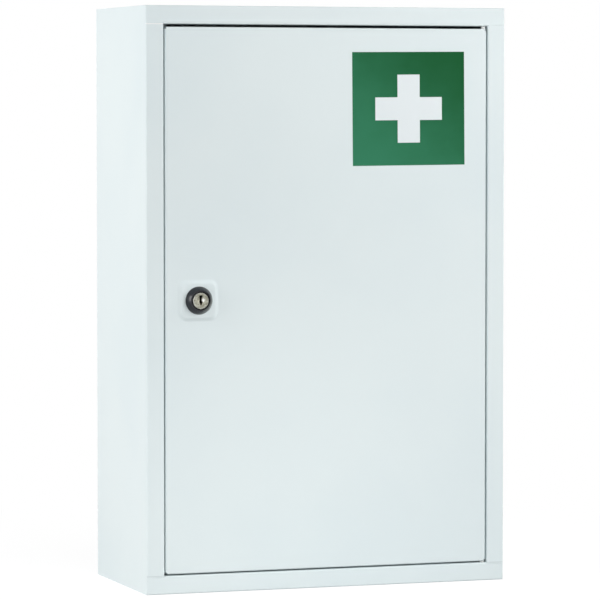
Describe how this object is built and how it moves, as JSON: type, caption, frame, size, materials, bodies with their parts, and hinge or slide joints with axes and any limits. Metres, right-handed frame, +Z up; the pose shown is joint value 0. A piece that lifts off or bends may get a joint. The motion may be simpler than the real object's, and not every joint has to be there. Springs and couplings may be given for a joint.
{
  "type": "lockable medicine cabinet",
  "caption": "Wall-hung folded-steel medicine cabinet with a front frame, an inset door on pivot pins, a quarter-turn cam lock and tray shelves.",
  "frame": {"origin": "centre of the casing's underside", "axes": "+Z up, -Y out of the door, +X towards the hinge side seen from the front"},
  "size_m": [0.3, 0.1472, 0.46],
  "materials": {
    "paint": "powder coat, satin white",
    "inner_paint": "powder coat, satin white",
    "dark_chrome": "dark chrome, polished",
    "nickel": "nickel plate, satin",
    "zinc": "zinc plate",
    "brass": "plain",
    "nylon": "moulded",
    "rubber": "matte",
    "sign_green": "printed foil, satin",
    "sign_white": "printed foil, satin"
  },
  "bodies": {
    "casing": {"casing_shell": "paint", "top_panel": "paint", "bottom_panel": "paint", "shelf_lower": "inner_paint", "shelf_upper": "inner_paint", "rail_lower_left": "inner_paint", "rail_lower_right": "inner_paint", "rail_upper_left": "inner_paint", "rail_upper_right": "inner_paint", "door_buffers": "rubber", "hinge_washer_lower": "nylon"},
    "door": {"door_panel": "paint", "hinge_washer_upper": "nylon", "hinge_pin_upper": "zinc", "hinge_pin_lower": "zinc", "lock_rosette": "dark_chrome", "lock_housing": "zinc", "lock_spring_washer": "zinc", "lock_nut": "zinc"},
    "lock": {"lock_core": "nickel", "lock_wafers": "brass", "turn_disc": "zinc", "lock_cam": "zinc", "cam_screw": "nickel"}
  },
  "joints": [
    {"name": "door_swing", "type": "hinge", "parent": "casing", "child": "door", "pos_m": [0.1321, -0.0678, 0.23], "axis": [0, 0, 1], "range_deg": [0, 110]},
    {"name": "lock_turn", "type": "hinge", "parent": "door", "child": "lock", "pos_m": [-0.1076, -0.07, 0.23], "axis": [0, 1, 0], "range_deg": [0, 90]}
  ]
}
